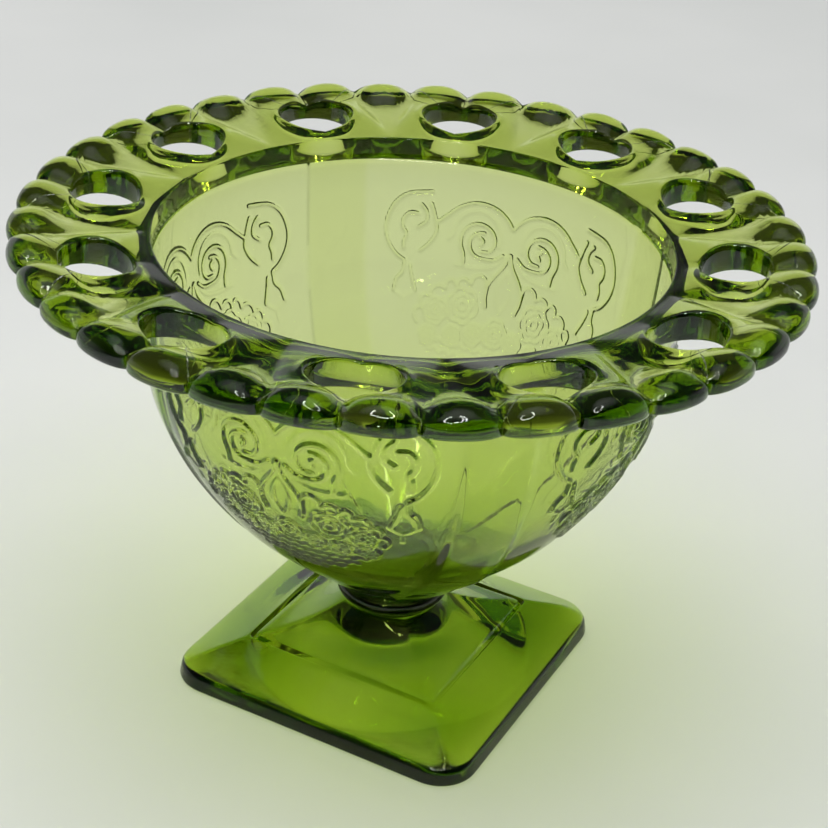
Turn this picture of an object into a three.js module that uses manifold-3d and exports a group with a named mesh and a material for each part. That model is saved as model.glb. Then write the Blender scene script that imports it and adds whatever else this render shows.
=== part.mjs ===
// Pressed green glass compote: a round bowl on a square stepped foot, with a wide openwork rim.
// Millimetres, +Z up. The origin is the middle of the flat face that the foot stands on, and the
// foot's sides run along X and Y, so its corners and the bowl's plain ribs lie on the diagonals.
import * as THREE from "three";
import Module from "manifold-3d";

const wasm = await Module();
wasm.setup();

// Whole object
const overallHeight = 125; // table to the crown of the rim's scallops
const mouthRadius = 60.6; // inside the mouth

// Foot: a square plate, a sloping outer band and a concave roof that sweeps up to the neck
const footSide = 84.4; // across the flats where it stands
const footCornerRadius = 10;
const footEdgeHeight = 4.2; // the upright edge of the plate
const footEdgeDraft = 0.8; // how far the upright edge leans in
const footBand = 16; // width of the sloping band, in plan
const footCreaseHeight = 10.6;
const footRoofHeight = 18.4; // where the concave roof meets the neck
const footRoofSag = 2.6; // how far the roof hangs below a straight line
const footBorder = 6.7; // flat glass outside the round hollow, where it is narrowest
const hollowStep = 1.6; // its upright edge
const hollowDepth = 9.4; // at the middle
const hollowFloorRadius = 12; // the flat at the top of the hollow

// Neck: a short round waist with a collar under the bowl
const waistRadius = 11.6;
const waistHeight = 0.7;
const collarRadius = 14.3;
const collarThickness = 3.6;
const collarRound = 1.2;

// Bowl: heights above the collar, and radii as set in from the outside of the lip
const bowlWall = 3.1; // between the ribs
const bowlLipWall = 3.7; // under the flange
const bowlBaseThickness = 6; // over the neck
const shoulderInset = 4.5; // where the wall turns upright
const shoulderRise = 55.8;
const bellyInset = 19.1; // half way up the curve
const bellyRise = 29.8;
const hipInset = 38.3; // where the underside turns up
const hipRise = 11.8;
const ribWidth = 16; // the four plain ribs between the decorated panels
const ribThickness = 0.8; // how far they stand out
const bowlTurn = 2; // degrees round the axis, against the foot

// Rim: a flange with twelve oval openings and a scalloped edge
const scallopCount = 36;
const holeCount = 12;
const rimTurn = 4.3; // degrees round the axis, against the foot
const flangeWidth = 32.4; // mouth to the tip of a scallop
const flangeThickness = 5.7; // at the mouth
const rimRise = 4.8; // crown of the scallops above the mouth
const scallopDepth = 2.3; // in plan, from tip to notch
const scallopCrown = 3.2; // a scallop's crown above the crease beside it
const scallopEdge = 5.4; // upright side of a scallop, top to bottom
const scallopShoulder = 1.5; // rounding from crown to side
const holeInset = 5.6; // glass between the mouth and an opening
const holeLength = 19.4; // round the rim
const holeWidth = 16.2; // out from the axis

const joinGap = 0.3; // between pieces that are one glass

const degrees = Math.PI / 180;
const columns = 72;
const scallopSteps = 6;

// A glass: green, clear, its own material on each piece
function glass(hex) {
  return new THREE.MeshStandardMaterial({
    color: hex,
    metalness: 0,
    roughness: 0.06,
    transparent: true,
    opacity: 0.6,
  });
}

// A body turned round the axis from a profile that may change with the angle.
// Profile points are [radius, height]; the ends lie on the axis, or the profile is a closed loop.
function turned(steps, profileAt, closed) {
  const rings = [];
  for (let i = 0; i < steps; i += 1) {
    rings.push(profileAt((i / steps) * 2 * Math.PI));
  }
  const count = rings[0].length;
  const positions = [];
  const at = [];
  for (let j = 0; j < count; j += 1) {
    at.push([]);
    const pole = !closed && (j === 0 || j === count - 1);
    for (let i = 0; i < steps; i += 1) {
      if (pole && i > 0) {
        at[j].push(at[j][0]);
        continue;
      }
      const turn = (i / steps) * 2 * Math.PI;
      const [radius, height] = rings[i][j];
      at[j].push(positions.length / 3);
      positions.push(radius * Math.cos(turn), radius * Math.sin(turn), height);
    }
  }
  const index = [];
  const spans = closed ? count : count - 1;
  for (let j = 0; j < spans; j += 1) {
    const upper = at[(j + 1) % count];
    for (let i = 0; i < steps; i += 1) {
      const next = (i + 1) % steps;
      const [a, b, c, d] = [at[j][i], at[j][next], upper[next], upper[i]];
      if (a !== b) index.push(a, b, c);
      if (c !== d) index.push(a, c, d);
    }
  }
  const geometry = new THREE.BufferGeometry();
  geometry.setAttribute("position", new THREE.Float32BufferAttribute(positions, 3));
  geometry.setIndex(index);
  geometry.computeVertexNormals();
  return geometry;
}

function toSolid(geometry) {
  const mesh = new wasm.Mesh({
    numProp: 3,
    vertProperties: new Float32Array(geometry.attributes.position.array),
    triVerts: new Uint32Array(geometry.index.array),
  });
  return new wasm.Manifold(mesh);
}

function fromSolid(solid) {
  const mesh = solid.getMesh();
  const geometry = new THREE.BufferGeometry();
  geometry.setAttribute("position", new THREE.Float32BufferAttribute(mesh.vertProperties, 3));
  geometry.setIndex(Array.from(mesh.triVerts));
  geometry.computeVertexNormals();
  return geometry;
}

function piece(name, geometry, hex) {
  const mesh = new THREE.Mesh(geometry, glass(hex));
  mesh.name = name;
  return mesh;
}

// Distance from the axis to the side of a square with rounded corners
function squareReach(turn, side, corner) {
  const half = side / 2;
  const x = Math.abs(Math.cos(turn));
  const y = Math.abs(Math.sin(turn));
  const flat = half / Math.max(x, y);
  const centre = half - corner;
  if (Math.min(x, y) * flat <= centre) {
    return flat;
  }
  const along = centre * (x + y);
  return along + Math.sqrt(along * along - 2 * centre * centre + corner * corner);
}

// Foot
const hollowRadius = footSide / 2 - footBorder;
const footCreaseSide = footSide - 2 * footBand;
const hollowSteps = 4;
const roofSteps = 5;
function footProfile(turn) {
  const topSide = footSide - 2 * footEdgeDraft;
  const crease = squareReach(turn, footCreaseSide, 0);
  const points = [[0, hollowDepth]];
  for (let k = 0; k <= hollowSteps; k += 1) {
    const t = k / hollowSteps;
    const radius = hollowFloorRadius + (hollowRadius - hollowFloorRadius) * t;
    points.push([radius, hollowDepth - (hollowDepth - hollowStep) * t ** 1.5]);
  }
  points.push([hollowRadius, 0]);
  points.push([squareReach(turn, footSide, footCornerRadius), 0]);
  points.push([squareReach(turn, topSide, footCornerRadius - footEdgeDraft), footEdgeHeight]);
  for (let k = 0; k <= roofSteps; k += 1) {
    const t = k / roofSteps;
    const radius = crease + (waistRadius - crease) * t;
    const sag = 4 * footRoofSag * t * (1 - t);
    points.push([radius, footCreaseHeight + (footRoofHeight - footCreaseHeight) * t - sag]);
  }
  points.push([0, footRoofHeight]);
  return points;
}

// Neck
const neckBottom = footRoofHeight + joinGap;
const collarBottom = neckBottom + waistHeight + collarRound;
const neckTop = collarBottom + collarThickness;
function neckProfile() {
  return [
    [0, neckBottom],
    [waistRadius, neckBottom],
    [waistRadius, collarBottom - collarRound],
    [collarRadius - collarRound, collarBottom],
    [collarRadius, collarBottom + collarRound],
    [collarRadius, neckTop - collarRound],
    [collarRadius - collarRound, neckTop],
    [0, neckTop],
  ];
}

// Bowl: its outside is one smooth curve through the base, hip, belly, shoulder and lip
const bowlBottom = neckTop + joinGap;
const mouthHeight = overallHeight - rimRise;
const bowlTop = mouthHeight - flangeThickness - joinGap;
const lipRadius = mouthRadius + bowlLipWall;
const bowlSeatRadius = collarRadius - collarRound;
const outside = new THREE.CatmullRomCurve3(
  [
    new THREE.Vector3(bowlSeatRadius, 0, bowlBottom),
    new THREE.Vector3(lipRadius - hipInset, 0, neckTop + hipRise),
    new THREE.Vector3(lipRadius - bellyInset, 0, neckTop + bellyRise),
    new THREE.Vector3(lipRadius - shoulderInset, 0, neckTop + shoulderRise),
    new THREE.Vector3(lipRadius, 0, bowlTop),
  ],
  false,
  "centripetal",
);
const bowlSteps = 12;

// How much of the rib stands at this angle: 1 on a rib, 0 on a panel
function ribAt(turn, radius) {
  const quarter = Math.PI / 2;
  const fromRib = ((((turn / quarter) % 1) + 1) % 1) * quarter - quarter / 2;
  return Math.abs(fromRib) * radius < ribWidth / 2 ? 1 : 0;
}

function bowlProfile(turn) {
  const outer = [];
  const inner = [];
  for (let k = 0; k <= bowlSteps; k += 1) {
    const t = k / bowlSteps;
    const point = outside.getPoint(t);
    const slope = outside.getTangent(t);
    const stand = ribAt(turn, Math.max(point.x, ribWidth)) * ribThickness * Math.min(1, 6 * t);
    outer.push([point.x + slope.z * stand, point.z - slope.x * stand * (t < 1 ? 1 : 0)]);
    const wall = bowlWall + (bowlBaseThickness - bowlWall) * (1 - t) ** 3;
    inner.push([Math.min(point.x - slope.z * wall, mouthRadius), point.z + slope.x * wall]);
  }
  const floor = bowlBottom + bowlBaseThickness;
  const within = inner.filter(([radius, height]) => radius > 6 && height < bowlTop - 2);
  return [
    [0, bowlBottom],
    ...outer,
    [mouthRadius, bowlTop],
    ...within.reverse(),
    [0, floor],
  ];
}

// Rim
const pitch = (2 * Math.PI) / scallopCount;
const flangeBottom = mouthHeight - flangeThickness;
const notchRadius = mouthRadius + flangeWidth - scallopDepth;
const holeCentreRadius = mouthRadius + holeInset + holeWidth / 2;
const crownFade = 0.3; // share of the flange, from the mouth, that stays smooth
const crossSteps = 5;

function rimProfile(turn) {
  const across = (((turn / pitch + 0.5) % 1) + 1) % 1;
  const bulge = Math.sqrt(1 - (2 * across - 1) ** 2 * 0.96);
  const tip = notchRadius + scallopDepth * bulge;
  const top = overallHeight - scallopCrown;
  const points = [
    [mouthRadius, flangeBottom],
    [mouthRadius, mouthHeight],
  ];
  for (let k = 1; k <= crossSteps; k += 1) {
    const t = k / crossSteps;
    const radius = mouthRadius + (tip - scallopShoulder - mouthRadius) * t;
    const grow = Math.max(0, (t - crownFade) / (1 - crownFade)) ** 0.8;
    const level = mouthHeight + (top - mouthHeight) * t;
    points.push([radius, level + scallopCrown * bulge * grow]);
  }
  const crest = top + scallopCrown * bulge;
  points.push([tip, crest - scallopShoulder]);
  points.push([tip, overallHeight - scallopEdge]);
  points.push([tip - scallopShoulder, overallHeight - scallopEdge - scallopShoulder]);
  return points.reverse();
}

function rimGeometry() {
  let solid = toSolid(turned(scallopCount * scallopSteps, rimProfile, true));
  const drillHeight = 3 * flangeThickness;
  for (let k = 0; k < holeCount; k += 1) {
    const turn = ((k + 0.5) / holeCount) * 360;
    const drill = wasm.Manifold.cylinder(drillHeight, 0.5, 0.5, 24, true)
      .scale([holeWidth, holeLength, 1])
      .translate([holeCentreRadius, 0, mouthHeight])
      .rotate([0, 0, turn]);
    solid = solid.subtract(drill);
  }
  return fromSolid(solid);
}

const foot = piece("foot", turned(columns, footProfile, false), 0x5d7a12);
const neck = piece("neck", turned(columns, neckProfile, false), 0x56720f);
const bowl = piece("bowl", turned(columns, bowlProfile, false), 0x6b8a18);
bowl.rotation.z = bowlTurn * degrees;
const rim = piece("lace_rim", rimGeometry(), 0x4f6b0e);
rim.rotation.z = rimTurn * degrees;

const dish = new THREE.Group();
dish.name = "pressed_glass_compote";
dish.add(foot, neck, bowl, rim);

export default dish;
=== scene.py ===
import math

import bmesh
import bpy
import numpy as np
from mathutils import Matrix, Vector


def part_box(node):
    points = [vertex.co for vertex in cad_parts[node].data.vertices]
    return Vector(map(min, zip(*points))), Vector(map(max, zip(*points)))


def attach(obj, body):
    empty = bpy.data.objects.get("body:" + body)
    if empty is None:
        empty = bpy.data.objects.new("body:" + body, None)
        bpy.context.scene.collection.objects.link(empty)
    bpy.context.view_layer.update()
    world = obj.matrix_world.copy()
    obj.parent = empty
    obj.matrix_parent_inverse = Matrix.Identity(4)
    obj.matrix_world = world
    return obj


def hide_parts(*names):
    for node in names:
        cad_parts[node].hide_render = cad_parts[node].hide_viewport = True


# Pressed green glass compote, seen on a white table under soft light.
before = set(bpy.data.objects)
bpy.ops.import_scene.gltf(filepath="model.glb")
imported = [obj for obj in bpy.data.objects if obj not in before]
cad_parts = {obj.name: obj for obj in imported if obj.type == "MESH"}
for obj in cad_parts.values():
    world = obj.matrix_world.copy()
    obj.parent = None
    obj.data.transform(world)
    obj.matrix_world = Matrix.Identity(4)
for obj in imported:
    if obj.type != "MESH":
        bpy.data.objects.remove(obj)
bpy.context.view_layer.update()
scene = bpy.context.scene

# The viewer stands close to the dish and looks down into it.
# The lens, place and turn are those of a short portrait lens at about half a metre.
eye = bpy.data.cameras.new("viewer")
eye.lens = 78.759
eye.sensor_width = 36
eye.clip_start = 0.02
viewer = bpy.data.objects.new("viewer", eye)
viewer.location = (0.17544, -0.34359, 0.29274)
viewer.rotation_euler = [math.radians(a) for a in (60.1813, -3.3269, 28.5531)]
scene.collection.objects.link(viewer)
scene.camera = viewer
bpy.context.view_layer.update()


# The dish stands on a white lacquered table top.
# The lacquer has a faint mottle and a soft gloss, and the foot rests a hair above it.
TABLE_HALF = 4
UNDER_FOOT = 0.00015


def table_top():
    bm = bmesh.new()
    bmesh.ops.create_grid(bm, x_segments=1, y_segments=1, size=TABLE_HALF)
    bmesh.ops.translate(bm, verts=bm.verts, vec=(0, 0, -UNDER_FOOT))
    mesh = bpy.data.meshes.new("table_top")
    bm.to_mesh(mesh)
    bm.free()
    table = bpy.data.objects.new("table_top", mesh)
    scene.collection.objects.link(table)
    paint = bpy.data.materials.new("white_lacquer")
    paint.use_nodes = True
    nodes, links = paint.node_tree.nodes, paint.node_tree.links
    shader = nodes["Principled BSDF"]
    place = nodes.new("ShaderNodeTexCoord")
    mottle = nodes.new("ShaderNodeTexNoise")
    mottle.inputs["Scale"].default_value = 5
    mottle.inputs["Detail"].default_value = 3
    tint = nodes.new("ShaderNodeValToRGB")
    tint.color_ramp.elements[0].position = 0.35
    tint.color_ramp.elements[0].color = (0.70, 0.715, 0.70, 1)
    tint.color_ramp.elements[1].position = 0.7
    tint.color_ramp.elements[1].color = (0.76, 0.77, 0.755, 1)
    links.new(place.outputs["Object"], mottle.inputs["Vector"])
    links.new(mottle.outputs["Fac"], tint.inputs["Fac"])
    links.new(tint.outputs["Color"], shader.inputs["Base Color"])
    shader.inputs["Roughness"].default_value = 0.22
    shader.inputs["Specular IOR Level"].default_value = 0.35
    mesh.materials.append(paint)


table_top()

# The room is pale beyond the dish and straight overhead, and dim behind the viewer's back.
# One wide soft panel overhead lights the dish and the table; it does not show in the glass.
ROOM_LEVELS = ((0.0, 0.62), (0.25, 0.58), (0.33, 0.14), (0.5, 0.06), (0.86, 0.05), (1.0, 0.5))
AWAY_FROM_VIEWER = (-0.45, 0.89, 0)
room = bpy.data.worlds.new("room")
scene.world = room
room.use_nodes = True
room_nodes, room_links = room.node_tree.nodes, room.node_tree.links
room_light = room_nodes["Background"]
way = room_nodes.new("ShaderNodeTexCoord")
height = room_nodes.new("ShaderNodeSeparateXYZ")
room_links.new(way.outputs["Generated"], height.inputs[0])
band = room_nodes.new("ShaderNodeValToRGB")
for spot, level in ROOM_LEVELS:
    stop = band.color_ramp.elements.new(spot) if 0 < spot < 1 else band.color_ramp.elements[int(spot)]
    stop.color = (level, level * 1.02, level, 1)
room_links.new(height.outputs["Z"], band.inputs["Fac"])
ahead = room_nodes.new("ShaderNodeVectorMath")
ahead.operation = "DOT_PRODUCT"
ahead.inputs[1].default_value = AWAY_FROM_VIEWER
room_links.new(way.outputs["Generated"], ahead.inputs[0])
side = room_nodes.new("ShaderNodeMapRange")
side.inputs["From Min"].default_value = -0.5
side.inputs["From Max"].default_value = 0.25
side.inputs["To Min"].default_value = 0.08
side.inputs["To Max"].default_value = 1.0
room_links.new(ahead.outputs["Value"], side.inputs["Value"])
room_links.new(band.outputs["Color"], room_light.inputs["Color"])
room_links.new(side.outputs["Result"], room_light.inputs["Strength"])


def soft_panel(name, place, aim, width, height, watts):
    lamp = bpy.data.lights.new(name, "AREA")
    lamp.shape = "RECTANGLE"
    lamp.size = width
    lamp.size_y = height
    lamp.energy = watts
    panel = bpy.data.objects.new(name, lamp)
    panel.location = place
    panel.rotation_euler = (Vector(aim) - Vector(place)).to_track_quat("-Z", "Y").to_euler()
    scene.collection.objects.link(panel)
    return panel


overhead = soft_panel("overhead_panel", (-0.1, -0.05, 1.5), (-0.05, 0, 0), 2.4, 2.4, 38)
overhead.visible_glossy = False
overhead.visible_transmission = False


# A ring lamp, open at the top, hangs above the dish on the viewer's side, with a small bulb
# lower down. They only glint in the glass: they add no light to the table and stay unseen.
LAMP_RING, LAMP_TUBE, LAMP_TALL = 0.105, 0.008, 1.7
LAMP_ARC, LAMP_START = math.radians(300), math.radians(120)
LAMP_STAND = Vector((0.092, -0.180, 0.60))
LAMP_AIM = Vector((0, 0, 0.12))
BULB, BULB_PLACE = 0.011, (0.20, -0.50, 0.19)


def ring_lamp():
    bm = bmesh.new()
    bmesh.ops.create_circle(bm, segments=10, radius=LAMP_TUBE)
    upright = Matrix.Translation((LAMP_RING, 0, 0)) @ Matrix.Rotation(math.pi / 2, 4, "X")
    bmesh.ops.transform(bm, matrix=upright, verts=bm.verts)
    bmesh.ops.spin(
        bm, geom=bm.verts[:] + bm.edges[:], axis=(0, 0, 1), cent=(0, 0, 0),
        angle=LAMP_ARC, steps=48,
    )
    bmesh.ops.rotate(bm, verts=bm.verts, cent=(0, 0, 0), matrix=Matrix.Rotation(LAMP_START, 3, "Z"))
    bmesh.ops.scale(bm, verts=bm.verts, vec=(1, LAMP_TALL, 1))
    turned = (LAMP_STAND - LAMP_AIM).to_track_quat("Z", "Y").to_matrix().to_4x4()
    bmesh.ops.transform(bm, matrix=Matrix.Translation(LAMP_STAND) @ turned, verts=bm.verts)
    bmesh.ops.create_icosphere(bm, subdivisions=2, radius=BULB, matrix=Matrix.Translation(BULB_PLACE))
    mesh = bpy.data.meshes.new("ring_lamp")
    bm.to_mesh(mesh)
    bm.free()
    lamp = bpy.data.objects.new("ring_lamp", mesh)
    scene.collection.objects.link(lamp)
    glow = bpy.data.materials.new("lamp_glow")
    glow.use_nodes = True
    nodes, links = glow.node_tree.nodes, glow.node_tree.links
    nodes.remove(nodes["Principled BSDF"])
    light = nodes.new("ShaderNodeEmission")
    light.inputs["Color"].default_value = (1, 1, 0.96, 1)
    light.inputs["Strength"].default_value = 22
    links.new(light.outputs["Emission"], nodes["Material Output"].inputs["Surface"])
    mesh.materials.append(glow)
    lamp.visible_camera = False
    lamp.visible_diffuse = False
    lamp.visible_shadow = False


ring_lamp()

# Clear glass needs many turns of the light, and its colours are shown as they are.
scene.view_settings.view_transform = "Standard"
scene.cycles.max_bounces = 32
scene.cycles.transmission_bounces = 32
scene.cycles.glossy_bounces = 16
scene.cycles.transparent_max_bounces = 16


# Foot: a square plate of solid glass, pressed with a sloping border, a dished roof
# that sweeps up to the neck, and a round hollow underneath. It is one glass with the neck.
MM = 0.001
COLUMNS = 360
foot_low, foot_high = (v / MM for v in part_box("foot"))


def green_glass(name, wave, wave_size, grain, smooth, shade_darkening=1.0):
    """Clear olive green pressed glass, coloured by its depth.

    Its skin has a slow wave and a fine chill grain, both in millimetres; the last argument multiplies the
    absorption, as painted shade for glass that sits in shadow.
    """
    glass = bpy.data.materials.new(name)
    glass.use_nodes = True
    nodes, links = glass.node_tree.nodes, glass.node_tree.links
    shader = nodes["Principled BSDF"]
    shader.inputs["Base Color"].default_value = (0.97, 0.99, 0.93, 1)
    shader.inputs["Transmission Weight"].default_value = 1
    shader.inputs["IOR"].default_value = 1.52
    place = nodes.new("ShaderNodeTexCoord")
    slow = nodes.new("ShaderNodeTexNoise")
    slow.inputs["Scale"].default_value = 1 / (wave_size * MM)
    slow.inputs["Detail"].default_value = 2
    fine = nodes.new("ShaderNodeTexNoise")
    fine.inputs["Scale"].default_value = 900
    fine.inputs["Detail"].default_value = 4
    links.new(place.outputs["Object"], slow.inputs["Vector"])
    links.new(place.outputs["Object"], fine.inputs["Vector"])
    skin = nodes.new("ShaderNodeBump")
    skin.inputs["Distance"].default_value = wave * MM
    skin.inputs["Strength"].default_value = 1
    links.new(slow.outputs["Fac"], skin.inputs["Height"])
    chill = nodes.new("ShaderNodeBump")
    chill.inputs["Distance"].default_value = grain * MM
    chill.inputs["Strength"].default_value = 1
    links.new(fine.outputs["Fac"], chill.inputs["Height"])
    links.new(skin.outputs["Normal"], chill.inputs["Normal"])
    links.new(chill.outputs["Normal"], shader.inputs["Normal"])
    polish = nodes.new("ShaderNodeMapRange")
    polish.inputs["From Min"].default_value = 0.3
    polish.inputs["From Max"].default_value = 0.7
    polish.inputs["To Min"].default_value = smooth
    polish.inputs["To Max"].default_value = smooth + 0.03
    links.new(fine.outputs["Fac"], polish.inputs["Value"])
    links.new(polish.outputs["Result"], shader.inputs["Roughness"])
    through = nodes.new("ShaderNodeBsdfTransparent")
    through.inputs["Color"].default_value = (0.93, 0.95, 0.90, 1)
    ray = nodes.new("ShaderNodeLightPath")
    pick = nodes.new("ShaderNodeMixShader")
    links.new(ray.outputs["Is Shadow Ray"], pick.inputs["Fac"])
    links.new(shader.outputs["BSDF"], pick.inputs[1])
    links.new(through.outputs["BSDF"], pick.inputs[2])
    links.new(pick.outputs["Shader"], nodes["Material Output"].inputs["Surface"])
    depth = nodes.new("ShaderNodeVolumeAbsorption")
    depth.inputs["Color"].default_value = (0.741, 0.826, 0.10, 1)
    # A multiplier above 1 darkens the glass as painted shade, not as a darker batch of glass.
    depth.inputs["Density"].default_value = 275 * shade_darkening
    links.new(depth.outputs["Volume"], nodes["Material Output"].inputs["Volume"])
    return glass


def start_ring(bm, posts):
    """An open ring of edges, one vertex to a post; each vertex remembers its post."""
    post = bm.verts.layers.int.new("post")
    ring = bmesh.ops.create_circle(bm, segments=len(posts), radius=1)["verts"]
    for number, vert in enumerate(ring):
        vert[post] = number
        vert.co = posts[number]
    return [e for e in bm.edges]


def next_ring(bm, ring, posts):
    """Draws the ring out to its next place and returns the new ring."""
    post = bm.verts.layers.int["post"]
    made = bmesh.ops.extrude_edge_only(bm, edges=ring)["geom"]
    fresh = {g for g in made if isinstance(g, bmesh.types.BMVert)}
    for vert in fresh:
        vert.co = posts[vert[post]]
    return [g for g in made if isinstance(g, bmesh.types.BMEdge) and set(g.verts) <= fresh]


def glass_piece(bm, name, material, node):
    """Turns the faces outward, scales the shape, smooths it, and hangs it on the dish in place of its plain
    solid.
    """
    bmesh.ops.recalc_face_normals(bm, faces=bm.faces)
    bmesh.ops.scale(bm, vec=(MM, MM, MM), verts=bm.verts)
    for face in bm.faces:
        face.smooth = True
    mesh = bpy.data.meshes.new(name)
    bm.to_mesh(mesh)
    bm.free()
    piece = bpy.data.objects.new(name, mesh)
    scene.collection.objects.link(piece)
    mesh.materials.append(material)
    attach(piece, "root")
    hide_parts(node)
    return piece


def square_reach(turn, side, corner):
    """Distance from the axis to the side of a square with rounded corners."""
    half = side / 2
    x, y = abs(math.cos(turn)), abs(math.sin(turn))
    flat = half / max(x, y)
    centre = half - corner
    if min(x, y) * flat <= centre:
        return flat
    along = centre * (x + y)
    return along + math.sqrt(max(along * along - 2 * centre * centre + corner * corner, 0))


def round_corner(before, at, after, radius, steps):
    """Points of a rounded corner on a profile, from the leg before it to the leg after it."""
    before, at, after = (np.array(p, float) for p in (before, at, after))
    one = at + (before - at) / np.linalg.norm(before - at) * radius
    two = at + (after - at) / np.linalg.norm(after - at) * radius
    share = np.linspace(0, 1, steps + 1)[:, None]
    return [tuple(p) for p in (1 - share) ** 2 * one + 2 * share * (1 - share) * at + share ** 2 * two]


FOOT_EDGE, FOOT_CREASE, FOOT_ROOF = 4.2, 10.6, 18.55
FOOT_SAG, FOOT_WAIST = 1.5, 11.6
FOOT_CORNER, FOOT_TAPER = 10, 0.8
CREASE_SIDE, CREASE_CORNER, CREASE_DEPTH = 52.4, 1.5, 1.6
HOLLOW_RIM, HOLLOW_TOP, HOLLOW_FLAT = 6.7, 9.4, 12
HOLLOW_STEP, HOLLOW_SLOPE = 1.3, 2.5


def foot_profile(turn, side):
    """One cut through the foot, from the middle of the hollow round the edge to the top of the roof."""
    edge_height, crease_height, roof_height = FOOT_EDGE, FOOT_CREASE, FOOT_ROOF
    sag, waist = FOOT_SAG, FOOT_WAIST
    reach = square_reach(turn, side, FOOT_CORNER)
    upper = square_reach(turn, side - 2 * FOOT_TAPER, FOOT_CORNER - FOOT_TAPER)
    crease = square_reach(turn, CREASE_SIDE, CREASE_CORNER)
    hollow = side / 2 - HOLLOW_RIM
    dome = []
    for t in np.linspace(0, 1, 13):
        dome.append((
            HOLLOW_FLAT + (hollow - HOLLOW_SLOPE - HOLLOW_FLAT) * t,
            HOLLOW_TOP - (HOLLOW_TOP - HOLLOW_STEP) * t ** 1.5,
        ))
    roof = []
    for t in np.linspace(0, 1, 19):
        height = crease_height + (roof_height - crease_height) * t - 4 * sag * t * (1 - t)
        roof.append((crease + (waist - crease) * t, height))
    points = [(0.01, HOLLOW_TOP), (6, HOLLOW_TOP)] + dome[:-1]
    step = (hollow - HOLLOW_SLOPE, HOLLOW_STEP)
    points += round_corner(dome[-2], step, (hollow, 0), 1.1, 4)
    points += round_corner(step, (hollow, 0), (reach, 0), 1.1, 4)
    points += [(hollow + (reach - hollow) * t, 0) for t in (0.3, 0.6)]
    points += round_corner((hollow, 0), (reach, 0), (upper, edge_height), 1.1, 5)
    points += round_corner((reach, 0), (upper, edge_height), (crease, crease_height), 1.3, 5)
    across = max(abs(math.cos(turn)), abs(math.sin(turn)))
    for t in (0.2, 0.35, 0.5, 0.65, 0.8, 0.92):
        radius = upper + (crease - upper) * t
        even = edge_height + (crease_height - edge_height) * t
        inward = (side / 2 - FOOT_TAPER - radius * across) / (side / 2 - FOOT_TAPER - CREASE_SIDE / 2)
        hipped = edge_height + (crease_height - edge_height) * inward
        share = min(2.5 * t, 1)
        points.append((radius, even + (hipped - even) * share))
    ridge = (crease + 0.9, crease_height - 0.3)
    groove = (crease, crease_height - CREASE_DEPTH)
    lip = (crease - 1.0, crease_height - 0.1)
    points += round_corner((upper, edge_height), ridge, groove, 0.2, 2)
    points += round_corner(ridge, groove, lip, 0.2, 2)
    points += round_corner(groove, lip, roof[2], 0.2, 2)
    points += roof[2:]
    points += [(0.01, roof_height)]
    return points


def round_the_axis(profiles):
    """Rings of points, one ring to each profile point."""
    columns = len(profiles)
    rings = []
    for k in range(len(profiles[0])):
        ring = []
        for i in range(columns):
            turn = 2 * math.pi * i / columns
            radius, height = profiles[i][k]
            ring.append(Vector((radius * math.cos(turn), radius * math.sin(turn), height)))
        rings.append(ring)
    return rings


def press_foot():
    side = foot_high.x - foot_low.x
    profiles = [foot_profile(2 * math.pi * i / COLUMNS, side) for i in range(COLUMNS)]
    rings = round_the_axis(profiles)
    bm = bmesh.new()
    ring = start_ring(bm, rings[0])
    for places in rings[1:]:
        ring = next_ring(bm, ring, places)
    bmesh.ops.remove_doubles(bm, verts=bm.verts, dist=0.02)
    return glass_piece(bm, "foot_glass", green_glass("foot_glass_skin", 0.10, 22, 0.004, 0.01), "foot")


press_foot()


# Neck: a short round waist under a thick rolled collar, solid glass.
# The press leaves its edges softly rounded; bowl and foot run into it.
def press_neck():
    base, top, waist, collar = 18.5, 24.35, 11.6, 14.3
    line = [(0, base), (6, base), (waist - 0.2, base), (waist, base + 0.15), (waist, 19.3)]
    line += round_corner((waist, 19.3), (waist, 20.2), (collar, 20.7), 0.5, 3)
    line += round_corner((waist, 20.2), (collar, 20.9), (collar, 23), 1.3, 6)
    line += round_corner((collar, 21.5), (collar, 24.1), (collar - 2, 24.3), 1.1, 6)
    line += [(collar - 1.6, top), (6, top), (0, top)]
    bm = bmesh.new()
    chain = [bmesh.ops.create_vert(bm, co=(r, 0, z))["vert"][0] for r, z in line]
    for one, two in zip(chain, chain[1:]):
        bm.edges.new((one, two))
    bmesh.ops.spin(
        bm, geom=bm.verts[:] + bm.edges[:], axis=(0, 0, 1), cent=(0, 0, 0),
        angle=2 * math.pi, steps=144, use_merge=True,
    )
    bmesh.ops.remove_doubles(bm, verts=bm.verts, dist=0.005)
    # The neck glass absorbs 3.2 times as much as the rest: painted shade for the dark that falls under the
    # bowl.
    return glass_piece(bm, "neck_glass", green_glass("neck_glass_skin", 0.08, 12, 0.004, 0.01, 3.2), "neck")


press_neck()


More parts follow.
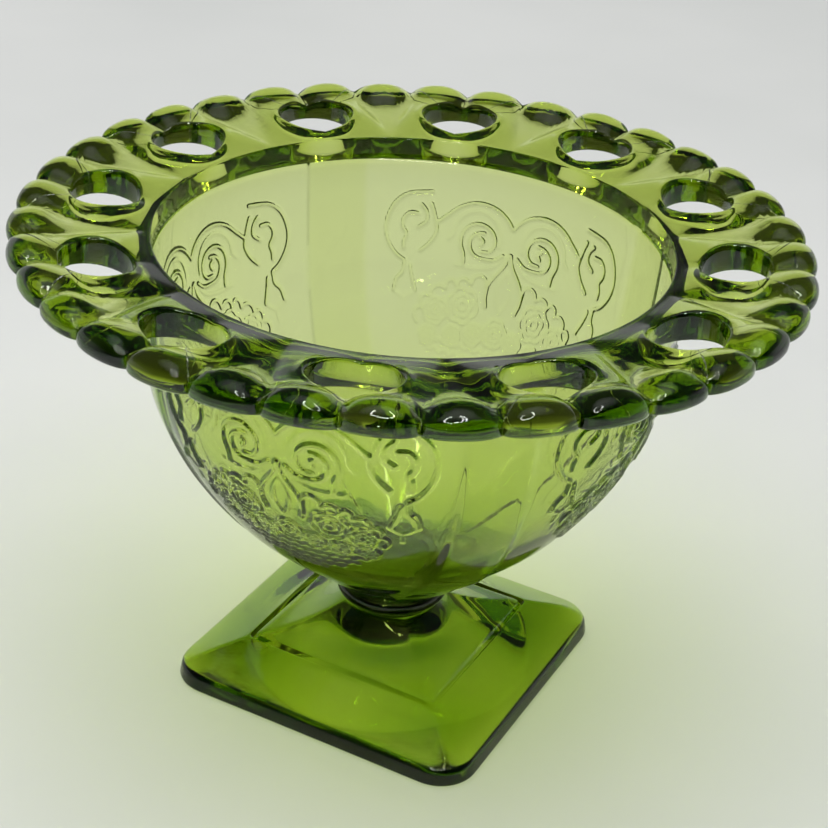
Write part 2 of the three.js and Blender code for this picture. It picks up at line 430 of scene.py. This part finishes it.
# Bowl: a round bowl of pressed glass on the collar, with four plain upright ribs and
# four panels between them that carry raised scrolls, flowers and woven lines.
def flowing(points, steps):
    """A smooth line through the points, as a thin strip of metal bends through pegs."""
    pegs = np.array(points, float)
    pegs = np.vstack([2 * pegs[0] - pegs[1], pegs, 2 * pegs[-1] - pegs[-2]])
    line = []
    for a, b, c, d in zip(pegs, pegs[1:], pegs[2:], pegs[3:]):
        knots = [0.0]
        for p, q in ((a, b), (b, c), (c, d)):
            knots.append(knots[-1] + max(np.linalg.norm(q - p), 1e-6) ** 0.5)
        t0, t1, t2, t3 = knots
        t = np.linspace(t1, t2, steps, endpoint=False)[:, None]
        ab = (t1 - t) / (t1 - t0) * a + (t - t0) / (t1 - t0) * b
        bc = (t2 - t) / (t2 - t1) * b + (t - t1) / (t2 - t1) * c
        cd = (t3 - t) / (t3 - t2) * c + (t - t2) / (t3 - t2) * d
        abc = (t2 - t) / (t2 - t0) * ab + (t - t0) / (t2 - t0) * bc
        bcd = (t3 - t) / (t3 - t1) * bc + (t - t1) / (t3 - t1) * cd
        line.append((t2 - t) / (t2 - t1) * abc + (t - t1) / (t2 - t1) * bcd)
    return np.vstack(line + [pegs[-2:-1]])


# Half of a panel's ornament. Each point is (distance from the panel's middle, height).
SCROLLS = [
    [(22, 104.9), (25, 104.6), (28.5, 103.9), (31.4, 101.6), (33.2, 98),
     (33.8, 94), (32.8, 90), (30.6, 86.8), (28.6, 85.4)],
    [(25.6, 98.6), (27.8, 98.6), (29.3, 96.8), (29.3, 94.6), (28.3, 92.6), (28.9, 90.6), (28.9, 88.6)],
    [(24.8, 101.2), (23.4, 99.3), (23.2, 96.6), (25.3, 94.7)],
    [(22.2, 101.6), (21.4, 99.2), (20.8, 96.9)],
    [(0, 97.8), (1.9, 100.3), (4.6, 102.3), (8.2, 103.3),
     (11.6, 103), (14.8, 101.5), (17.6, 99), (20.6, 96.3)],
    [(20.6, 96.3), (20.4, 94.2), (21, 92.4), (22.4, 90.2), (24.4, 88.2)],
    [(12.6, 85.8), (12.9, 88.6), (13.8, 91.4), (13.4, 94.6), (11.6, 96.8), (9, 97.6),
     (6.4, 96.7), (4.8, 94.6), (4.7, 92), (6.1, 90.2), (8.3, 89.9)],
    [(7.6, 95.3), (9.7, 94.8), (11.3, 93), (11.3, 90.8), (10.2, 88.9), (7.5, 88.1), (4.3, 88.4), (2, 90.2)],
    [(8.9, 94), (7.8, 92.9), (8.5, 91.7)],
    [(0.2, 90.8), (1.2, 87.4), (3.3, 84.2), (4.9, 81.2), (5.1, 78.2), (4.5, 75.6)],
    [(26.9, 84), (26.2, 80.9), (25, 77.3)],
    [(28.5, 84.9), (28.9, 82), (30.4, 80.3), (31.2, 77.2)],
]
PARALLELS = [
    [(3.2, 92.2), (3.3, 96), (5.4, 99.6), (9, 101.1), (12.8, 100), (15.3, 97), (16, 93.8), (17.2, 92.3)],
    [(14.8, 85.4), (10, 85.1), (5.6, 85.9), (3, 87.7), (1, 90)],
    [(0, 86), (1.3, 83.4), (1.9, 80.5), (1.5, 77.6), (0, 74.8)],
    [(25, 77.3), (28, 75.4), (31.2, 77.2)],
    [(28, 75.4), (28.1, 72.2)],
]
PETALS = [
    [(5.2, 77.6), (5.4, 80.4), (5.7, 82.6), (7.2, 83.5), (9, 82.6), (9.6, 80.7)],
    [(9.6, 80.7), (11.6, 81.9), (13.2, 81.1), (13.4, 79.3)],
    [(13.4, 79.3), (14.9, 81.2), (16.4, 80.4), (16.6, 78.6)],
    [(16.6, 78.6), (18.6, 79.2), (20.3, 78), (20.6, 76.3)],
    [(20.6, 76.3), (22.3, 76.6), (23.3, 75.2), (22.8, 73.3)],
    [(22.8, 73.3), (24.4, 73), (24.9, 71.2), (24, 69.5)],
]
ROSETTES = [
    (11.2, 74.8, 4.6), (18.9, 72.6, 3.4), (0, 69.6, 3.6), (6.4, 68.2, 2.8), (13, 67, 2.6), (20.4, 66.6, 2.4),
]
WEAVES = [(64.6, 22.5), (62.4, 20.5), (60.2, 17.5), (58, 13), (56, 7)]


def ornament():
    """Every raised line of half a panel, each with its height and half width."""
    lines = [(flowing(p, 6), 0.74, 0.74) for p in SCROLLS]
    lines += [(flowing(p, 6), 0.26, 0.8) for p in PARALLELS]
    lines += [(flowing(p, 5), 0.58, 0.75) for p in PETALS]
    for x, z, size in ROSETTES:
        for share, lobes in ((0.28, 1), (0.62, 5), (1.0, 6)):
            turn = np.linspace(0, 2 * math.pi, 10 * lobes + 9)
            reach = size * share * (0.84 + 0.16 * np.abs(np.sin(lobes * turn / 2 + share)))
            lines.append((np.stack([x + reach * np.cos(turn), z + reach * np.sin(turn)], 1), 0.5, 0.7))
    for z, half in WEAVES:
        x = np.arange(0, half + 0.01, 0.8)
        woven = z + 0.55 * np.sin(x * 1.9 + z) + 0.0035 * x * x
        lines.append((np.stack([x, woven], 1), 0.36, 0.75))
    return lines


RIB_RISE, RIB_RAMP = 0.7, 2.4
OUTLINE = flowing([(13.1, 24.3), (26, 36), (45.2, 54), (59.8, 80), (64.3, 114.4)], 60)
BOWL_TURN = math.radians(2)
RIB = 16.0
NOMINAL = 60.0


def outline_reach(height):
    return np.interp(height, OUTLINE[:, 1], OUTLINE[:, 0])


def on_panel(place):
    """Distance from the middle of the nearest panel, in millimetres at the belly's radius."""
    turn = np.arctan2(place[:, 1], place[:, 0]) - BOWL_TURN
    quarter = math.pi / 2
    return (turn - np.round(turn / quarter) * quarter) * NOMINAL


def nearness(place, lines):
    """Raised height at each place, and its distance from the nearest line."""
    along = np.abs(on_panel(place))
    widen = np.hypot(place[:, 0], place[:, 1]) / NOMINAL
    slope = np.gradient(OUTLINE[:, 0], OUTLINE[:, 1])
    lean = np.sqrt(1 + np.interp(place[:, 2], OUTLINE[:, 1], slope) ** 2)
    rise = np.zeros(len(place))
    near = np.full(len(place), 99.0)
    for line, tall, wide in lines:
        low, high = line.min(0) - 2.5, line.max(0) + 2.5
        by = np.where(
            (along > low[0]) & (along < high[0]) & (place[:, 2] > low[1]) & (place[:, 2] < high[1])
        )[0]
        if not len(by):
            continue
        scale = np.stack([widen[by], lean[by]], 1)[:, None, :]
        point = np.stack([along[by], place[by, 2]], 1)[:, None, :]
        offset = (point - line[None, :-1]) * scale
        legs = np.diff(line, axis=0)[None] * scale
        t = np.clip((offset * legs).sum(2) / np.maximum((legs * legs).sum(2), 1e-9), 0, 1)
        away = np.linalg.norm(offset - legs * t[..., None], axis=2).min(1)
        share = np.minimum(away / wide, 1)
        rise[by] = np.maximum(rise[by], tall * (0.5 + 0.5 * np.cos(np.pi * share)))
        near[by] = np.minimum(near[by], away)
    return rise, near


def rib_rise(place):
    """The four plain ribs stand a little proud of the panels."""
    radius = np.maximum(np.hypot(place[:, 0], place[:, 1]), 25)
    turn = np.arctan2(place[:, 1], place[:, 0]) - BOWL_TURN
    quarter = math.pi / 2
    off = np.abs((turn / quarter - 0.5) - np.round(turn / quarter - 0.5)) * quarter * radius
    edge = np.clip((RIB / 2 + RIB_RAMP / 2 - off) / RIB_RAMP, 0, 1)
    edge = edge * edge * (3 - 2 * edge)
    foot_of_rib = np.clip((place[:, 2] - 25) / 5, 0, 1)
    return RIB_RISE * edge * foot_of_rib, np.abs(off - RIB / 2)


def press_bowl():
    bm = bmesh.new()
    rows, columns = 77, 300
    floor_height, lip_height = 30.5, 114.4
    walk = np.concatenate([[0], np.cumsum(np.linalg.norm(np.diff(OUTLINE, axis=0), axis=1))])
    stops = np.linspace(0, walk[-1], rows + 1)
    outer = np.stack([np.interp(stops, walk, OUTLINE[:, 0]), np.interp(stops, walk, OUTLINE[:, 1])], 1)
    lean = np.gradient(OUTLINE, axis=0)
    lean /= np.linalg.norm(lean, axis=1)[:, None]
    share = walk / walk[-1]
    wall = 3.1 + 4.2 * (1 - share) ** 4
    inside = OUTLINE + np.stack([-lean[:, 1], lean[:, 0]], 1) * wall[:, None]
    inside[:, 0] = np.minimum(inside[:, 0], 60.6)
    keep = (inside[:, 0] > 7) & (inside[:, 1] < 113.4) & (inside[:, 1] > 30.55)
    inside = inside[keep][::5]
    line = [(0, 24.3), (6, 24.3), (12, 24.3)] + [tuple(p) for p in outer]
    line += [(62.5, lip_height), (60.6, lip_height)]
    line += [tuple(p) for p in inside[::-1]] + [(6, floor_height), (0, floor_height)]
    chain = [bmesh.ops.create_vert(bm, co=(r, 0, z))["vert"][0] for r, z in line]
    for one, two in zip(chain, chain[1:]):
        bm.edges.new((one, two))
    bmesh.ops.spin(
        bm, geom=bm.verts[:] + bm.edges[:], axis=(0, 0, 1), cent=(0, 0, 0),
        angle=2 * math.pi, steps=columns, use_merge=True,
    )
    bmesh.ops.remove_doubles(bm, verts=bm.verts, dist=0.005)

    def skin(verts):
        place = np.array([v.co for v in verts])
        reach = np.hypot(place[:, 0], place[:, 1])
        outside = (reach > outline_reach(place[:, 2]) - 0.6) & (place[:, 2] > 24.6) & (place[:, 2] < 114.39)
        return place, outside

    lines = ornament()
    bm.verts.ensure_lookup_table()
    place, outside = skin(bm.verts)
    _, near = nearness(place, lines)
    _, rib_edge = rib_rise(place)
    close = outside & ((near < 1.0) | ((rib_edge < 0.4) & (place[:, 2] > 45)))
    chosen = {v for v, c in zip(bm.verts, close) if c}
    cells = {f for v in chosen for f in v.link_faces}
    edges = {e for f in cells for e in f.edges}
    bmesh.ops.subdivide_edges(bm, edges=list(edges), cuts=2, use_grid_fill=True)

    bm.verts.ensure_lookup_table()
    place, outside = skin(bm.verts)
    numbers = np.where(outside)[0]
    chosen = place[numbers]
    turn = np.arctan2(chosen[:, 1], chosen[:, 0])
    slope = np.interp(chosen[:, 2], OUTLINE[:, 1], np.gradient(OUTLINE[:, 0], OUTLINE[:, 1]))
    rise, _ = nearness(chosen, lines)
    rib, _ = rib_rise(chosen)
    proud = np.maximum(rise, 0) + rib
    lift = proud / np.sqrt(1 + slope ** 2)
    height = chosen[:, 2] - lift * slope
    reach = outline_reach(chosen[:, 2]) + lift
    for k, number in enumerate(numbers):
        bm.verts[number].co = (reach[k] * math.cos(turn[k]), reach[k] * math.sin(turn[k]), height[k])
    return glass_piece(bm, "bowl_glass", green_glass("bowl_glass_skin", 0.05, 18, 0.004, 0.01), "bowl")


press_bowl()


# Rim: a wide flange fused to the lip, with twelve oval openings and a scalloped edge.
# Each scallop is a plump fingertip; the one between two openings narrows inwards to a point.
MOUTH = 60.6
NOTCH = 89.6
DEPTH = 3.4
CROWN = 4.4
FLANGE_TOP, FLANGE_CLIMB = 120.2, 0.45
UNDERSIDE, UNDERSIDE_CLIMB, UNDERSIDE_START = 114.35, 4.35, 65
RIDGE_RISE, RIDGE_OFF, RIDGE_HALF = 0.45, 1.2, 0.7
TURN_PER_SCALLOP = math.pi / 18
KNOB = flowing([
    (66, 0), (74, 0.06), (79, 0.16), (82, 0.45), (84.5, 0.86), (86.8, 1), (89, 0.94),
    (91, 0.74), (93.1, 0.42),
], 8)
FINGER = flowing([
    (61.5, 0), (65, 0.18), (70, 0.4), (76, 0.52), (80, 0.56), (82.4, 0.62), (84, 0.76), (86, 0.92),
    (87.8, 1), (89.4, 0.97), (91.2, 0.78), (93.1, 0.42),
], 8)
HOLE_REACH = 74.3
HOLE_ACROSS = 8.1
HOLE_ALONG = 9.7
SECTOR = math.pi / 6
RIM_TURN = math.radians(4.3)


def fingertip(u):
    """0 in a crease, 1 on a crown."""
    return np.sqrt(1 - np.clip(np.abs(u), 0, 1) ** 2.1)


def rim_edge(turn):
    """Outer edge of the rim; turn is measured from the middle of an opening."""
    u = np.abs(2 * ((turn / TURN_PER_SCALLOP + 1e-9) % 1) - 1)
    return NOTCH + DEPTH * np.sqrt(1 - np.clip(u, 0, 1) ** 2.2)


def crest(radius, turn):
    """Height of the upper side with sharp creases."""
    half = SECTOR / 2
    side = np.abs((turn + half) % SECTOR - half)
    share = np.clip((radius - MOUTH) / (NOTCH + DEPTH - MOUTH), 0, 1)
    level = FLANGE_TOP + FLANGE_CLIMB * share
    web = math.pi / 36 * np.clip((radius - 63) / 25, 0.03, 1) ** 0.8
    in_web = side > half - web
    u = np.where(in_web, (half - side) / web, (side - (half - web) / 2) / ((half - web) / 2))
    grow_web = np.interp(radius, KNOB[:, 0], KNOB[:, 1])
    grow_hole = np.interp(radius, FINGER[:, 0], FINGER[:, 1])
    return level + CROWN * fingertip(u) * np.where(in_web, grow_web, grow_hole)


def rim_top(radius, turn):
    """Height of the upper side, creases softened as the hot glass leaves them."""
    total = 0
    for step, weight in ((-0.014, 0.12), (-0.007, 0.23), (0, 0.3), (0.007, 0.23), (0.014, 0.12)):
        total = total + weight * crest(radius, turn + step)
    return total


def rounded(gap, radius):
    """Drop of a rounded edge at this distance from it."""
    rest = np.clip(radius - gap, 0, radius)
    return radius - np.sqrt(radius ** 2 - rest ** 2)


def rim_underside(radius):
    share = np.clip((radius - UNDERSIDE_START) / (NOTCH - UNDERSIDE_START), 0, 1)
    return UNDERSIDE + UNDERSIDE_CLIMB * share


def shape_rim(verts, upper):
    """Gives flat points of one sector their height on the upper side or the underside."""
    flat = np.array([v.co[:2] for v in verts])
    radius = np.hypot(flat[:, 0], flat[:, 1])
    turn = np.arctan2(flat[:, 1], flat[:, 0])
    edge = np.maximum(rim_edge(turn) - radius, 0)
    mouth = np.maximum(radius - MOUTH, 0)
    oval = np.hypot((flat[:, 0] - HOLE_REACH) / HOLE_ACROSS, flat[:, 1] / HOLE_ALONG)
    reach = np.hypot(flat[:, 0] - HOLE_REACH, flat[:, 1])
    to_hole = np.maximum((oval - 1) * reach / np.maximum(oval, 1e-6), 0)
    plump = fingertip(2 * ((turn / TURN_PER_SCALLOP) % 1) - 1)
    if upper:
        beside = np.clip(1 - ((radius - 74) / 6.5) ** 2, 0, 1)
        ridge = RIDGE_RISE * np.exp(-((to_hole - RIDGE_OFF) / RIDGE_HALF) ** 2) * beside
        height = rim_top(radius, turn) + ridge
        height = height - rounded(edge, 0.5 + plump) - rounded(mouth, 0.5) - rounded(to_hole, 0.8)
    else:
        height = rim_underside(radius) + rounded(edge, 0.4 + 1.5 * plump) + rounded(to_hole, 0.8)
    for v, z in zip(verts, height):
        v.co.z = z


def press_rim():
    half = SECTOR / 2
    spokes = [0, 0.12, 0.4, 0.95, 2.2, 5, 8.5, 12, 15.5, 19, 22, 24.5]
    spokes += [26.6, 28.3, 29.7, 30.7, 31.4, 31.9, 32.25, 32.4]
    border = [(MOUTH, t) for t in np.linspace(-half, half, 13)[:-1]]
    border += [(MOUTH + s, half) for s in spokes[:-1]]
    arc = [math.sin(math.pi / 2 * v) for v in np.linspace(-1, 1, 19)]
    tips = [half - SECTOR / 3 * (k + (1 + u) / 2) for k in (-0.5, 0.5, 1.5, 2.5) for u in arc[:-1]]
    tips = [t for t in tips if -half + 1e-6 < t < half - 1e-6]
    border += [(float(rim_edge(np.array(t))), t) for t in [half] + tips]
    border += [(MOUTH + s, -half) for s in spokes[:0:-1]]
    border = np.array([(r * math.cos(t), r * math.sin(t)) for r, t in border])
    centre = np.array([HOLE_REACH, 0])
    away = border - centre
    around = np.arctan2(away[:, 1] / HOLE_ALONG, away[:, 0] / HOLE_ACROSS)
    hole = centre + np.stack([HOLE_ACROSS * np.cos(around), HOLE_ALONG * np.sin(around)], 1)
    length = np.linalg.norm(border - hole, axis=1)
    stops = [np.minimum(n / length, 0.3) for n in (0, 0.08, 0.26, 0.55, 0.95, 1.5)]
    first = np.minimum(2.2 / length, 0.36)
    last = np.maximum(1 - 3.4 / length, 0.42)
    stops += [first + (last - first) * t for t in np.linspace(0, 1, 7)]
    stops += [
        np.maximum(1 - f / length, 0.5 + 0.02 * k)
        for k, f in enumerate((2.6, 1.8, 1.15, 0.65, 0.3, 0.08))
    ]
    stops.append(np.ones(len(length)))
    bm = bmesh.new()
    ring = None
    for stop in stops:
        places = [Vector((x, y, 0)) for x, y in hole + (border - hole) * stop[:, None]]
        ring = start_ring(bm, places) if ring is None else next_ring(bm, ring, places)
    upper = bm.verts[:]
    made = bmesh.ops.duplicate(bm, geom=bm.verts[:] + bm.edges[:] + bm.faces[:])["geom"]
    lower = [g for g in made if isinstance(g, bmesh.types.BMVert)]
    shape_rim(lower, False)
    shape_rim(upper, True)
    upper = set(upper)

    def on_a_cut(edge):
        turns = [abs(math.atan2(v.co.y, v.co.x)) for v in edge.verts]
        return min(turns) > half - 1e-5

    walls = [e for e in bm.edges if len(e.link_faces) == 1 and e.verts[0] in upper and not on_a_cut(e)]
    for share in (1 / 3, 1 / 2, 1):
        made = bmesh.ops.extrude_edge_only(bm, edges=walls)["geom"]
        fresh = [g for g in made if isinstance(g, bmesh.types.BMVert)]
        from_height = [v.co.z for v in fresh]
        shape_rim(fresh, False)
        for v, z in zip(fresh, from_height):
            v.co.z = z + (v.co.z - z) * share
        fresh = set(fresh)
        walls = [g for g in made if isinstance(g, bmesh.types.BMEdge) and set(g.verts) <= fresh]
    bmesh.ops.rotate(bm, verts=bm.verts, cent=(0, 0, 0), matrix=Matrix.Rotation(half + RIM_TURN, 3, "Z"))
    bmesh.ops.spin(
        bm, geom=bm.verts[:] + bm.edges[:] + bm.faces[:], axis=(0, 0, 1), cent=(0, 0, 0),
        angle=2 * math.pi - SECTOR, steps=11, use_duplicate=True,
    )
    bmesh.ops.remove_doubles(bm, verts=bm.verts, dist=0.01)
    return glass_piece(bm, "rim_glass", green_glass("rim_glass_skin", 0.10, 14, 0.004, 0.01), "lace_rim")


press_rim()
